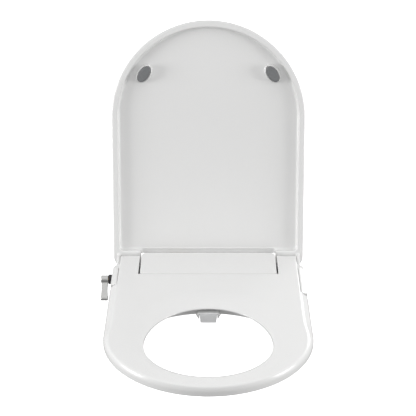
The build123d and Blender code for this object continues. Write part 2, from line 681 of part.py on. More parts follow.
def button_spring():
    """Spring that returns the button."""
    half = WING_WIDTH / 2
    coil = rod_x(2.5, half - 20, half - 6.2, SPRING_Y, VALVE_Z)
    return coil - rod_x(1.9, half - 21, half - 5, SPRING_Y, VALVE_Z)


def spring_post():
    """Wall inside the wing that backs the button's spring."""
    half = WING_WIDTH / 2
    return box(half - 23, half - 20.2, SPRING_Y - 4, SPRING_Y + 4, WALL, 17)


# ---- build every node ----
half_panel = PANEL_WIDTH / 2
save("lid_shell", open_lid(lid_shell()))
save("lid_bumpers", *[open_lid(pad) for pad in lid_bumpers()])
save("lid_damper_shaft", lid_shaft())
save("lid_pivot_pin", lid_pin())
save("seat_shell", seat_shell())
save("seat_lower_cover", seat_cover())
save("seat_bumpers", *seat_bumpers())
save("seat_bush_left", ear_bush(-EAR_OUTER, -EAR_INNER))
save("seat_bush_right", ear_bush(154, EAR_OUTER))
save("seat_damper_shaft", seat_shaft())
save("base_housing", base_housing() + spring_post())
save("wing_cover_left", deck_cover(-200, -half_panel))
save("wing_cover_right", deck_cover(half_panel, 200))
save("front_deck_cover", deck_cover(-half_panel, half_panel))
save("top_cover", top_cover())
save("housing_screws", *housing_screws())
save("lid_damper_body", damper_body(*LID_DAMPER, -1))
save("seat_damper_body", damper_body(*SEAT_DAMPER, 1))
save("valve_body", valve_body())
save("valve_cartridge", valve_cartridge())
save("valve_spindle", valve_spindle())
save("lever_collar", lever_collar())
save("lever", lever())
save("lever_screw", lever_screw())
save("inlet_connector", inlet_connector())
save("inlet_filter", inlet_filter())
save("inlet_hose", inlet_hose())
save("rear_wash_hose", wash_hose(VALVE_Y - 5, -NOZZLE_X, 20))
save("front_wash_hose", wash_hose(VALVE_Y + 5, NOZZLE_X, 28))
save("nozzle_block", nozzle_block())
for name, x, holes in (("rear", -NOZZLE_X, 2), ("front", NOZZLE_X, 4)):
    save(f"{name}_nozzle_tube", nozzle_tube(x))
    save(f"{name}_nozzle_tip", nozzle_tip(x, holes))
    save(f"{name}_nozzle_spring", nozzle_spring(x))
save("guard_hood", guard_hood())
save("guard_flap", guard_flap())
save("guard_pin", guard_pin())
save("mounting_plate", mounting_plate())
save("mounting_bolts", *mounting_bolts())
save("cone_washers", *cone_washers())
save("wing_nuts", *wing_nuts())
save("release_button", release_button())
save("latch_bar", latch_bar())
save("button_spring", button_spring())
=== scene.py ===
"""Bidet toilet seat: looks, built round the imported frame."""
import json
import math

import bpy
import numpy as np
from mathutils import Matrix, Vector


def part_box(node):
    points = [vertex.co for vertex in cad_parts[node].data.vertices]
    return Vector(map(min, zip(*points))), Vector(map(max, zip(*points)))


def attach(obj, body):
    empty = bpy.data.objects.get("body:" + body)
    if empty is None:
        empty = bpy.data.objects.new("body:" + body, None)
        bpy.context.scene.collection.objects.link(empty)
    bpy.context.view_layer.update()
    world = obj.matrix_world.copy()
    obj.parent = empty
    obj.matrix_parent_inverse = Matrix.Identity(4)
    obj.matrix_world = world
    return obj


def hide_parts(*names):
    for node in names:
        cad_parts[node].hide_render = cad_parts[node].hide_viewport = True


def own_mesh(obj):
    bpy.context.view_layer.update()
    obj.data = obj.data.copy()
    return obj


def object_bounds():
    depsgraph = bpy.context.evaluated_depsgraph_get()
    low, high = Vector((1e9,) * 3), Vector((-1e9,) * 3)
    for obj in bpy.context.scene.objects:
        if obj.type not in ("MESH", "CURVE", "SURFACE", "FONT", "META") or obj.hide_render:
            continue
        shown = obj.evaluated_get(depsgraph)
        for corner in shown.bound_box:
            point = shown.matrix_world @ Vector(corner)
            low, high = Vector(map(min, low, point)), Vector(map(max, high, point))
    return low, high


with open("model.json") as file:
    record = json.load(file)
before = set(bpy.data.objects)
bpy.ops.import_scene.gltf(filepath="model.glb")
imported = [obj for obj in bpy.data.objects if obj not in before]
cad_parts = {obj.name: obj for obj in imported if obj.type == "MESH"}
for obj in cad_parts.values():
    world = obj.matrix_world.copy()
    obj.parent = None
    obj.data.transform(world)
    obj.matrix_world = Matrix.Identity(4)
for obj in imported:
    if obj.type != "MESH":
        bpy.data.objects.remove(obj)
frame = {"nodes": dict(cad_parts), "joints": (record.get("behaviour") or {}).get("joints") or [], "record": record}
CAD_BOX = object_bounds()

MM = 0.001
TINY = 1e-9                  # keeps a division clear of zero
JOINTS = {joint["name"]: joint for joint in frame["joints"]}
AXIS = Vector(JOINTS["lid_hinge"]["pos_m"]) / MM
LID_ANGLE = math.radians(-JOINTS["lid_hinge"]["range_deg"][0])


def mm_box(node):
    """Lowest and highest corner of a CAD node, in millimetres."""
    low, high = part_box(node)
    return np.array(low) / MM, np.array(high) / MM


# ---- shapes as distance fields, in millimetres ----
# A field is negative inside its shape. The last number given to round_max or round_min is the
# radius of the edge between the two shapes.
def round_max(a, b, radius):
    """Where both shapes are, with the edge between them rounded."""
    corner = np.hypot(np.maximum(a + radius, 0), np.maximum(b + radius, 0))
    return corner + np.minimum(np.maximum(a, b) + radius, 0) - radius


def round_min(a, b, radius):
    """Where either shape is, with a fillet between them."""
    return -round_max(-a, -b, radius)


def ramp(value, start, end):
    """0 before start, 1 after end, smooth between."""
    t = np.clip((value - start) / (end - start), 0, 1)
    return t * t * (3 - 2 * t)


def slab(value, low, high):
    """Between two parallel planes."""
    return np.maximum(low - value, value - high)


def d_shape(x, y, half, front):
    """Straight sides and a half-round front, seen from above."""
    centre = front + half
    return np.where(y > centre, np.abs(x), np.hypot(x, y - centre)) - half


def ellipse(x, y, a, b):
    """Ellipse about the origin; true near its edge."""
    k0 = np.hypot(x / a, y / b)
    k1 = np.hypot(x / a ** 2, y / b ** 2)
    return k0 * (k0 - 1) / np.maximum(k1, TINY)


def polygon(x, y, points):
    """Distance to a closed polygon, negative inside."""
    best = np.full(np.shape(x), 1e9)
    sign = np.ones(np.shape(x))
    for (ax, ay), (bx, by) in zip(points, points[1:] + points[:1]):
        ex, ey = bx - ax, by - ay
        wx, wy = x - ax, y - ay
        t = np.clip((wx * ex + wy * ey) / (ex * ex + ey * ey), 0, 1)
        best = np.minimum(best, (wx - ex * t) ** 2 + (wy - ey * t) ** 2)
        above, below, left = y >= ay, y < by, ex * wy > ey * wx
        flip = (above & below & left) | (~above & ~below & ~left)
        sign = np.where(flip, -sign, sign)
    return sign * np.sqrt(best)


def slope_of(field, p, step=0.02):
    """Direction in which a field grows, at each point."""
    grad = []
    for axis in range(3):
        ahead = [c + (step if i == axis else 0) for i, c in enumerate(p)]
        behind = [c - (step if i == axis else 0) for i, c in enumerate(p)]
        grad.append((field(ahead) - field(behind)) / (2 * step))
    return np.array(grad)


def net(field, low, high, steps):
    """Vertices and quads of a field's zero surface, a vertex in each grid cell that it crosses."""
    lines = [np.arange(a - 1.5 * s, b + 2.5 * s, s) for a, b, s in zip(low, high, steps)]
    grid = np.meshgrid(*lines, indexing="ij", sparse=True)
    value = np.broadcast_to(field(grid), [len(line) for line in lines])
    inside = value < 0
    cells = [n - 1 for n in value.shape]
    total = np.zeros(cells)
    place = np.zeros([3] + cells)
    corners = [(i, j, k) for i in (0, 1) for j in (0, 1) for k in (0, 1)]

    def at(array, corner):
        return array[tuple(slice(c, c + n) for c, n in zip(corner, cells))]

    for a in corners:
        for axis in range(3):
            if a[axis]:
                continue
            b = tuple(1 if i == axis else c for i, c in enumerate(a))
            va, vb = at(value, a), at(value, b)
            cross = at(inside, a) != at(inside, b)
            part = np.where(cross, va / np.where(cross, va - vb, 1), 0)
            total += cross
            for i in range(3):
                place[i] += cross * (a[i] + (part if i == axis else 0))
    used = total > 0
    number = np.full(cells, -1)
    number[used] = np.arange(used.sum())
    index = np.array(np.nonzero(used))
    start = np.array([line[0] for line in lines])[:, None]
    points = start + (index + place[:, used] / total[used]) * np.array(steps)[:, None]
    quads = []
    for axis in range(3):
        u, v = (axis + 1) % 3, (axis + 2) % 3
        ends = [slice(1, n) for n in cells]
        ends[axis] = slice(0, cells[axis])
        ahead = list(ends)
        ahead[axis] = slice(1, cells[axis] + 1)
        here, there = inside[tuple(ends)], inside[tuple(ahead)]
        for change, order in ((here & ~there, 1), (~here & there, -1)):
            at_cell = np.array(np.nonzero(change))
            at_cell += np.array([0 if i == axis else 1 for i in range(3)])[:, None]
            ring = []
            for du, dv in ((-1, -1), (0, -1), (0, 0), (-1, 0))[::order]:
                cell = at_cell.copy()
                cell[u] += du
                cell[v] += dv
                ring.append(number[tuple(cell)])
            quads.append(np.array(ring).T)
    return points, np.concatenate(quads)


def settle(field, points, rounds=5, reach=1.5):
    """Pulls points on to a field's zero surface, no further than reach in each round."""
    for _ in range(rounds):
        grad = slope_of(field, points)
        size = np.maximum((grad ** 2).sum(0), 0.05)
        move = -field(points) * grad / size
        length = np.maximum(np.sqrt((move ** 2).sum(0)), TINY)
        points = points + move * np.minimum(1, reach / length)
    return points


def new_mesh(name, points, faces):
    """Blender object in metres from points in millimetres."""
    mesh = bpy.data.meshes.new(name)
    mesh.from_pydata((np.asarray(points) * MM).tolist(), [], faces)
    mesh.polygons.foreach_set("use_smooth", [True] * len(mesh.polygons))
    mesh.update()
    obj = bpy.data.objects.new(name, mesh)
    bpy.context.scene.collection.objects.link(obj)
    return obj


def thin_out(obj, share):
    """Merges faces where the surface is flat and keeps them where it bends."""
    if share >= 1:
        return
    modifier = obj.modifiers.new("thin", "DECIMATE")
    modifier.ratio = share
    evaluated = obj.evaluated_get(bpy.context.evaluated_depsgraph_get())
    mesh = bpy.data.meshes.new_from_object(evaluated)
    obj.modifiers.clear()
    old = obj.data
    obj.data = mesh
    bpy.data.meshes.remove(old)


def points_of(obj):
    """An object's vertices in millimetres, as three rows."""
    flat = np.empty(len(obj.data.vertices) * 3)
    obj.data.vertices.foreach_get("co", flat)
    return flat.reshape(-1, 3).T / MM


def moulded(name, field, low, high, steps, share=1.0, swing=None):
    """A smooth solid from a distance field, with the field's own normals.

    steps is the grid's spacing in millimetres, share the part of the faces that stays, and
    swing turns the solid about the lid's hinge.
    """
    points, quads = net(field, low, high, steps)
    obj = new_mesh(name, settle(field, points).T, quads.tolist())
    thin_out(obj, share)
    points = settle(field, points_of(obj), rounds=3, reach=0.6)
    normals = slope_of(field, points)
    normals /= np.maximum(np.sqrt((normals ** 2).sum(0)), TINY)
    if swing is not None:
        points = swing @ (points - np.array(AXIS)[:, None]) + np.array(AXIS)[:, None]
        normals = swing @ normals
    obj.data.vertices.foreach_set("co", (points.T * MM).ravel())
    obj.data.polygons.foreach_set("use_smooth", [True] * len(obj.data.polygons))
    obj.data.update()
    obj.data.normals_split_custom_set_from_vertices(normals.T.tolist())
    return obj


LID_SWING = np.array(Matrix.Rotation(LID_ANGLE, 3, Vector((-1, 0, 0))))


# ---- materials ----
def new_material(name, colour, rough, metal=0.0, coat=0.0, coat_rough=0.05, specular=0.5):
    """Principled material with its constant values on the shader's own sockets."""
    material = bpy.data.materials.new(name)
    material.use_nodes = True
    tree = material.node_tree
    shader = tree.nodes["Principled BSDF"]
    shader.inputs["Base Color"].default_value = (*colour, 1)
    shader.inputs["Roughness"].default_value = rough
    shader.inputs["Metallic"].default_value = metal
    shader.inputs["Coat Weight"].default_value = coat
    shader.inputs["Coat Roughness"].default_value = coat_rough
    shader.inputs["Specular IOR Level"].default_value = specular
    return material, tree, shader


def noise(tree, scale, detail=3.0, stretch=(1, 1, 1)):
    """Noise fixed to the object, in features per metre."""
    coords = tree.nodes.new("ShaderNodeTexCoord")
    mapping = tree.nodes.new("ShaderNodeMapping")
    mapping.inputs["Scale"].default_value = stretch
    texture = tree.nodes.new("ShaderNodeTexNoise")
    texture.inputs["Scale"].default_value = scale
    texture.inputs["Detail"].default_value = detail
    tree.links.new(coords.outputs["Object"], mapping.inputs["Vector"])
    tree.links.new(mapping.outputs["Vector"], texture.inputs["Vector"])
    return texture.outputs["Fac"]


NOISE_LOW, NOISE_HIGH = 0.15, 0.85       # noise seldom goes past these


def spread(tree, value, low, high):
    """Maps a noise value on to a range."""
    node = tree.nodes.new("ShaderNodeMapRange")
    node.inputs["From Min"].default_value = NOISE_LOW
    node.inputs["From Max"].default_value = NOISE_HIGH
    node.inputs["To Min"].default_value = low
    node.inputs["To Max"].default_value = high
    tree.links.new(value, node.inputs["Value"])
    return node.outputs["Result"]


def shade(colour, share):
    """A colour made darker or lighter, up to white."""
    return tuple(min(1, c * share) for c in colour)


def tint(tree, value, dark, light, shader):
    """Base colour that wanders between two close tones."""
    node = tree.nodes.new("ShaderNodeMix")
    node.data_type = "RGBA"
    node.inputs["A"].default_value = (*dark, 1)
    node.inputs["B"].default_value = (*light, 1)
    tree.links.new(spread(tree, value, 0, 1), node.inputs["Factor"])
    tree.links.new(node.outputs["Result"], shader.inputs["Base Color"])


def gloss(tree, value, shader, smooth, dull):
    """Roughness that wanders between two close values."""
    tree.links.new(spread(tree, value, smooth, dull), shader.inputs["Roughness"])


def bump(tree, value, shader, depth, strength):
    """Surface relief, depth in metres."""
    node = tree.nodes.new("ShaderNodeBump")
    node.inputs["Strength"].default_value = strength
    node.inputs["Distance"].default_value = depth
    tree.links.new(value, node.inputs["Height"])
    tree.links.new(node.outputs["Normal"], shader.inputs["Normal"])


def plastic(name, colour, rough, depth=0.00001, coat=0.3, grain=170.0):
    """Injection-moulded plastic: very faint speckle, uneven gloss and a moulded skin."""
    material, tree, shader = new_material(name, colour, rough, coat=coat, coat_rough=0.12)
    tint(tree, noise(tree, 1500.0, 2.0), shade(colour, 0.992), shade(colour, 1.004), shader)
    gloss(tree, noise(tree, 1900.0, 2.0), shader, rough * 0.9, rough * 1.1)
    bump(tree, noise(tree, grain, 1.0), shader, depth, 0.3)
    return material


def rubber(name, colour, rough=0.62):
    """Soft elastomer: matte with a fine pebble and dusty tone."""
    material, tree, shader = new_material(name, colour, rough, specular=0.35)
    tint(tree, noise(tree, 240.0, 5.0), shade(colour, 0.86), shade(colour, 1.08), shader)
    gloss(tree, noise(tree, 500.0), shader, rough * 0.9, rough * 1.12)
    bump(tree, noise(tree, 1800.0, 3.0), shader, 0.00006, 0.5)
    return material


def polished(name, colour, rough):
    """Plated or polished metal with faint smears and waviness."""
    material, tree, shader = new_material(name, colour, rough, metal=1.0)
    tint(tree, noise(tree, 90.0, 3.0), shade(colour, 0.93), colour, shader)
    gloss(tree, noise(tree, 320.0, 5.0), shader, rough * 0.7, rough * 1.6)
    bump(tree, noise(tree, 45.0, 1.0), shader, 0.0001, 0.08)
    return material


def brushed(name, colour, rough, stretch):
    """Machined metal with fine lines across one direction."""
    material, tree, shader = new_material(name, colour, rough, metal=1.0)
    lines = noise(tree, 700.0, 4.0, stretch)
    tint(tree, lines, shade(colour, 0.82), colour, shader)
    gloss(tree, lines, shader, rough * 0.75, rough * 1.3)
    bump(tree, lines, shader, 0.00003, 0.4)
    return material


WHITE = plastic("white_gloss", (0.83, 0.83, 0.825), 0.27)
SATIN = plastic("white_satin", (0.79, 0.79, 0.785), 0.45, depth=0.00004, coat=0.0, grain=1400.0)
# guard and hood whites are painted light: set whiter than the seat's plastic to stand in for light that the seat's
# lip keeps off them
GUARD_PAINTED_LIGHT = plastic("guard_white_painted_light", (0.9, 0.905, 0.91), 0.4, depth=0.00003, coat=0.1, grain=1200.0)
HOOD_PAINTED_LIGHT = plastic("hood_white_painted_light", (0.93, 0.93, 0.93), 0.35, depth=0.00003, coat=0.1, grain=1200.0)
NOZZLE = plastic("nozzle_white", (0.82, 0.83, 0.84), 0.22)
ACETAL = plastic("acetal", (0.72, 0.71, 0.66), 0.5, depth=0.00005, coat=0.0, grain=1600.0)
HOSE = plastic("hose_white", (0.66, 0.69, 0.7), 0.38, coat=0.1)
CERAMIC = plastic("valve_ceramic", (0.78, 0.75, 0.7), 0.32, coat=0.0)
DARK = plastic("collar_dark", (0.018, 0.016, 0.018), 0.34, depth=0.00003, coat=0.15)
PAD = rubber("grey_rubber", (0.2, 0.205, 0.21))
FOOT = rubber("pale_rubber", (0.6, 0.6, 0.585))
CHROME = polished("chrome", (0.62, 0.62, 0.61), 0.1)
STEEL = brushed("steel", (0.56, 0.57, 0.58), 0.3, (1, 1, 14))
BRASS = brushed("brass", (0.66, 0.49, 0.22), 0.28, (12, 1, 1))

FINISHES = {
    "white_plastic": WHITE, "white_satin": SATIN, "grey_rubber": PAD, "bumper_rubber": FOOT,
    "dark_plastic": DARK, "chrome": CHROME, "steel": STEEL, "brass": BRASS, "acetal": ACETAL,
    "ceramic_disc": CERAMIC, "hose_plastic": HOSE, "nozzle_plastic": NOZZLE, "guard_plastic": GUARD_PAINTED_LIGHT,
}
NODE_SLOT = {part["node"]: part["material_slot"] for part in frame["record"]["subparts"]}
BODY_OF = {
    node: body for body, nodes in frame["record"]["behaviour"]["bodies"].items() for node in nodes
}


def dress(obj, material):
    """Gives an object one material."""
    obj.data.materials.clear()
    obj.data.materials.append(material)


def put(obj, *nodes, material=None):
    """A piece takes the place, body and slot of CAD nodes."""
    slot_name = NODE_SLOT[nodes[0]]
    dress(obj, material or FINISHES[slot_name])
    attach(obj, BODY_OF[nodes[0]])
    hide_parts(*nodes)
    return obj


for node_name, node_object in frame["nodes"].items():
    dress(node_object, FINISHES[NODE_SLOT[node_name]])


# ---- seat ----
SEAT_LOW, SEAT_HIGH = mm_box("seat_shell")
SEAT_HALF = SEAT_HIGH[0]
SEAT_FRONT = SEAT_LOW[1]
SEAT_TOP = SEAT_HIGH[2]
SKIRT = 12.0                 # lower edge of the skirt above the bowl
WALL = 4.0                   # the skirt's wall outside the lower cover
OPENING = (111.5, -277.0)    # half width, and where it is widest
OPENING_REAR, OPENING_FRONT = 130.0, 105.0
PANEL_LOW, PANEL_HIGH = mm_box("top_cover")
DISH_FADE = (10, 130)        # where the dish grows, behind the opening's widest place
DISH_WIDTH, DISH_WIDENS = 22, 36
DISH_DEPTH, DISH_DEEPENS = 5.5, 3.0
DISH_CURVE = 2.7
BEVEL_FADE = (190, 330)      # where the outer bevel shrinks, in front of the bolts
BEVEL_WIDTH, BEVEL_NARROWS = 14.0, 10.5
BEVEL_DROP, BEVEL_FLATTENS = 11.0, 7.0
LIP_BOTTOM, LIP_WIDTH = 19.0, 13.0       # sloped underside round the opening
COVER_INSET = LIP_WIDTH + 3              # lower cover's edge from the opening
COVER_PLAY, COVER_DEPTH = 0.15, 2.5      # room for the lower cover
GUARD_BAY, GUARD_BAY_REAR, GUARD_BAY_TOP = 34, -152, 18  # half width, rear end and top
BASE_GAP, DECK_GAP = 2.5, 0.5            # round the base's front wall and over its deck
PANEL_GAP = 1.5              # in front of the housing cover
WING_GAP = 2                 # in front of the wings
EAR = (132.5, 170.4)         # inner and outer face of the seat's ears
EAR_RADIUS = 14.8
BASE_HIGH = mm_box("base_housing")[1]
LEFT_LOW, LEFT_HIGH = mm_box("wing_cover_left")
RIGHT_LOW, RIGHT_HIGH = mm_box("wing_cover_right")
WING_FRONT = {-1: -64.0, 1: -98.0}       # front of the left and the right wing
WING_INNER = 165.0
WING_CORNER = 18.0           # round the wings' rear corners
SHOULDER_REAR = 3.0          # rear end of their raised shoulders
BASE_ARC, BASE_ARC_Y, BASE_ARC_X = 170.0, -298.0, 100.0  # front wall: radius, centre, half width
ARC_PARTS = 12
DECK = mm_box("front_deck_cover")[1][2]


def opening(x, y):
    """Egg-shaped opening seen from above."""
    dy = y - OPENING[1]
    return ellipse(x, dy, OPENING[0], np.where(dy > 0, OPENING_REAR, OPENING_FRONT))


def base_plan(rear):
    """Corners of the base seen from above, its wings running back to rear."""
    half, centre = BASE_HIGH[0], PANEL_HIGH[0]
    arc = []
    for i in range(ARC_PARTS + 1):
        x = -BASE_ARC_X + 2 * BASE_ARC_X * i / ARC_PARTS
        arc.append((x, BASE_ARC_Y + math.sqrt(BASE_ARC ** 2 - x ** 2)))
    right = [(WING_INNER, WING_FRONT[1]), (half, WING_FRONT[1]), (half, rear), (centre, rear)]
    back = [(centre, PANEL_HIGH[1]), (-centre, PANEL_HIGH[1])]
    left = [(-centre, rear), (-half, rear), (-half, WING_FRONT[-1]), (-WING_INNER, WING_FRONT[-1])]
    return arc + right + back + left


BASE_PLAN = base_plan(LEFT_HIGH[1])
WING_PLAN = base_plan(LEFT_HIGH[1] + 30)     # runs past the wings' rounded rear edge


def seat_top(x, y):
    """Height of the sitting surface: flat, and dished towards the opening."""
    rearward = ramp(y - OPENING[1], *DISH_FADE)
    width = DISH_WIDTH + DISH_WIDENS * rearward
    depth = DISH_DEPTH + DISH_DEEPENS * rearward
    t = np.clip(opening(x, y) / width, 0, 1)
    return SEAT_TOP - depth * (1 - t) ** DISH_CURVE


def seat_field(p):
    """Seat ring, its rear plate over the base and its two hinge ears."""
    x, y, z = p
    hole = opening(x, y)
    outer = d_shape(x, y, SEAT_HALF, SEAT_FRONT)
    forward = ramp(-y, *BEVEL_FADE)
    bevel_width = BEVEL_WIDTH - BEVEL_NARROWS * forward
    bevel_drop = BEVEL_DROP - BEVEL_FLATTENS * forward
    bevel = (outer + bevel_width) * bevel_drop + (z - SEAT_TOP) * bevel_width
    bevel = bevel / np.hypot(bevel_width, bevel_drop)
    body = round_max(outer, bevel, 4.0)
    body = round_max(body, z - seat_top(x, y), 2.2)
    body = round_max(body, SKIRT - z, 1.5)
    body = round_max(body, -hole, 1.5)
    under = (LIP_BOTTOM - z) * LIP_WIDTH - hole * (LIP_BOTTOM - SKIRT)
    body = round_max(body, under / math.hypot(LIP_WIDTH, LIP_BOTTOM - SKIRT), 1.0)
    base = round_max(polygon(x, y, BASE_PLAN) - BASE_GAP, z - DECK - DECK_GAP, 1.0)
    body = round_max(body, -base, 0.6)
    cover = np.maximum(outer + WALL, COVER_INSET - hole)
    body = np.maximum(body, -np.maximum(cover - COVER_PLAY, z - SKIRT - COVER_DEPTH))
    bay = np.maximum(slab(x, -GUARD_BAY, GUARD_BAY), GUARD_BAY_REAR - y)
    body = np.maximum(body, -np.maximum(bay, z - GUARD_BAY_TOP))
    side = np.abs(x)
    plan = np.minimum(y - PANEL_LOW[1] + PANEL_GAP, np.maximum(slab(side, *EAR), y - AXIS[1]))
    body = round_max(body, plan, 1.2)
    barrel = np.hypot(y - AXIS[1], z - AXIS[2]) - EAR_RADIUS
    seat = np.minimum(body, round_max(barrel, slab(side, *EAR), 1.2))
    wing_front = np.where(x < 0, WING_FRONT[-1], WING_FRONT[1]) - WING_GAP
    return round_max(seat, np.minimum(side - EAR[1], y - wing_front), 1.6)


seat = moulded("seat_ring", seat_field, SEAT_LOW, SEAT_HIGH, (1.5, 1.5, 0.9), share=0.5)
put(seat, "seat_shell")


# ---- lid ----
def closed_box(node):
    """A lid node's box with the lid swung shut, in millimetres."""
    mesh = frame["nodes"][node].data
    flat = np.empty(len(mesh.vertices) * 3)
    mesh.vertices.foreach_get("co", flat)
    points = flat.reshape(-1, 3).T / MM - np.array(AXIS)[:, None]
    points = LID_SWING.T @ points + np.array(AXIS)[:, None]
    return points.min(1), points.max(1)


LID_LOW, LID_HIGH = closed_box("lid_shell")
LID_HALF, LID_FRONT, LID_TOP = LID_HIGH[0], LID_LOW[1], LID_HIGH[2]
RIM_BOTTOM, RECESS = 33.0, 46.0      # rim plane and recess floor with the lid shut
RIM = 12.0                   # width of the raised rim
LID_REAR = 12.5              # its rear edge behind the hinge axis
RECESS_REAR = 20             # the recess ends this far in front of the axis
NOTCH_GAP, NOTCH_FRONT, NOTCH_RECESS = 2, 12.5, 24   # notch that clears the housing cover
REAR_FACE, REAR_RUN, REAR_RISE = 10, 4, 19   # rear face behind the axis, and its lean
LUG = (171.0, 177.0)         # inner and outer face of the lid's hinge lugs
LUG_RADIUS = 14.0
WEB_RISE = 4                 # how far the lugs reach up into the lid
PAD_PLACE = (122.0, AXIS[1] - 366.0)     # middle of the right bumper
PAD_TURN = math.radians(55)
PILLAR_OVAL, SOCKET_OVAL, PAD_OVAL = (19, 12), (17.1, 10.1), (16.6, 9.7)     # half axes


def pad_oval(x, y, long, short):
    """Oval at each lid bumper, its long side along the lid's edge."""
    across, along = np.abs(x) - PAD_PLACE[0], y - PAD_PLACE[1]
    c, s = math.cos(PAD_TURN), math.sin(PAD_TURN)
    return ellipse(across * c + along * s, along * c - across * s, long, short)


def lid_field(p):
    """Lid lying shut: tray with a raised rim and two hinge lugs."""
    x, y, z = p
    side = np.abs(x)
    outer = round_max(d_shape(x, y, LID_HALF, LID_FRONT), y - AXIS[1] - LID_REAR, 20)
    body = round_max(outer, z - LID_TOP, 7.0)
    body = round_max(body, RIM_BOTTOM - z, 3.6)
    inner = round_max(d_shape(x, y, LID_HALF - RIM, LID_FRONT + RIM), y - AXIS[1] + RECESS_REAR, 8)
    notch = side - PANEL_HIGH[0] - NOTCH_GAP
    inner = np.minimum(inner, np.maximum(notch, -(y - AXIS[1] + NOTCH_RECESS)))
    recess = round_max(inner, z - RECESS, 5.0)
    body = round_max(body, -recess, 2.2)
    body = round_max(body, -np.maximum(notch, AXIS[1] - NOTCH_FRONT - y), 1.2)
    rear = AXIS[1] + REAR_FACE - (z - RIM_BOTTOM + 1) * REAR_RUN / REAR_RISE
    body = round_max(body, y - rear, 2.5)
    barrel = np.hypot(y - AXIS[1], z - AXIS[2]) - LUG_RADIUS
    web = polygon(y, z, [
        (AXIS[1] - LUG_RADIUS, AXIS[2]), (AXIS[1] + LUG_RADIUS, AXIS[2]),
        (AXIS[1] + REAR_FACE, RIM_BOTTOM + WEB_RISE), (AXIS[1] - LUG_RADIUS, RIM_BOTTOM + WEB_RISE),
    ])
    lug = round_max(np.minimum(barrel, web), slab(side, *LUG), 2.0)
    lug = round_max(lug, outer + 0.5, 3.0)
    body = round_min(body, lug, 3.0)
    pillar = round_max(pad_oval(x, y, *PILLAR_OVAL), slab(z, RIM_BOTTOM + 2, RECESS + 2), 1.2)
    socket = np.maximum(pad_oval(x, y, *SOCKET_OVAL), z - RIM_BOTTOM - 3)
    return np.maximum(round_min(body, pillar, 1.5), -socket)


lid = moulded("lid_tray", lid_field, LID_LOW, LID_HIGH, (1.5, 1.5, 0.9), share=0.5, swing=LID_SWING)
put(lid, "lid_shell")


def pad_field(p):
    """Rubber pads, crowned, in their sockets."""
    x, y, z = p
    body = round_max(pad_oval(x, y, *PAD_OVAL), SEAT_TOP + 0.5 - z, 2.4)
    return np.maximum(body, z - RIM_BOTTOM - 2)


PAD_LOW, PAD_HIGH = closed_box("lid_bumpers")
pads = moulded(
    "lid_pads", pad_field, PAD_LOW, PAD_HIGH, (0.9, 0.9, 0.6), share=0.5, swing=LID_SWING
)
put(pads, "lid_bumpers")


# ---- hinge housing cover and wings ----
PANEL_THICK, PANEL_LAP = 3, 2            # its plate, and how far the skirt reaches into it
PANEL_SKIRT, PANEL_SKIRT_HALF = 5, 1     # middle of the skirt inside the edge, half thickness


def cover_field(p):
    """Flush cover with rounded corners, the rear ones larger."""
    x, y, z = p
    across = slab(x, PANEL_LOW[0], PANEL_HIGH[0])
    rear = round_max(across, y - PANEL_HIGH[1], 8)
    face = round_max(rear, PANEL_LOW[1] - y, 3)
    plate = round_max(face, slab(z, SEAT_TOP - PANEL_THICK, SEAT_TOP), 1.2)
    skirt = np.abs(face + PANEL_SKIRT) - PANEL_SKIRT_HALF
    skirt = np.maximum(skirt, slab(z, PANEL_LOW[2], SEAT_TOP - PANEL_LAP))
    return np.minimum(plate, skirt)


cover = moulded("housing_cover", cover_field, PANEL_LOW, PANEL_HIGH, (1.0, 1.0, 0.6), share=0.35)
put(cover, "top_cover")


WING_INSET = 1.5             # its inner edge, outside the ear's inner face
DECK_THICK = 2.5             # flat part of a wing cover, under the seat's ear
SHOULDER_START = 4.5         # outward from the ear to where the shoulder begins to fall
SHOULDER_FALL, SHOULDER_RUN = 4.5, 9
EAR_GAP = 0.7


def wing_field(side, low, high):
    """Cover over the base beside the seat, rising to a sloped shoulder."""
    def field(p):
        x, y, z = p
        plan = round_max(polygon(x, y, WING_PLAN), y - high[1], WING_CORNER)
        plan = np.maximum(plan, EAR[0] + WING_INSET - side * x)
        deck = round_max(plan, slab(z, low[2], low[2] + DECK_THICK), 0.4)
        shoulder = (side * x - EAR[1] - SHOULDER_START) * SHOULDER_FALL / SHOULDER_RUN + z - high[2]
        lip = round_max(plan, y - SHOULDER_REAR, 6.0)
        lip = round_max(lip, shoulder / math.hypot(1, SHOULDER_FALL / SHOULDER_RUN), 2.0)
        lip = round_max(lip, EAR[1] + EAR_GAP - side * x, 0.6)
        lip = np.maximum(lip, np.maximum(low[2] - z, WING_FRONT[side] - y))
        lip = round_max(lip, z - high[2], 1.0)
        return np.minimum(deck, lip)
    return field


for wing_name, wing_side, wing_low, wing_high in (
    ("wing_cover_left", -1, LEFT_LOW, LEFT_HIGH), ("wing_cover_right", 1, RIGHT_LOW, RIGHT_HIGH)
):
    wing = moulded(
        wing_name + "_moulding", wing_field(wing_side, wing_low, wing_high), wing_low, wing_high,
        (0.9, 1.2, 0.6), share=0.5,
    )
    put(wing, wing_name)


# ---- lever and collar ----
LEVER_LOW, LEVER_HIGH = mm_box("lever")
LEVER_AXIS = np.array(JOINTS["lever_turn"]["pos_m"]) / MM
LEVER_TURN = math.radians(45)
HUB_RADIUS = 7.5
WAIST = 6.6                  # half width of the blade at the hub
WAIST_DRAWN_IN, WAIST_FLARE = 0.7, 0.5
BLADE_THICK, BLADE_LENGTH = 3.3, 40      # half thickness, and length from the hub's axis
GRIP_REACH, GRIP_RADIUS, GRIP_HALF, GRIP_FLAT = 37.5, 4.3, 6.8, 0.92
BORE, BORE_END = 4.0, -199   # hole for the valve's spindle, closed beyond here


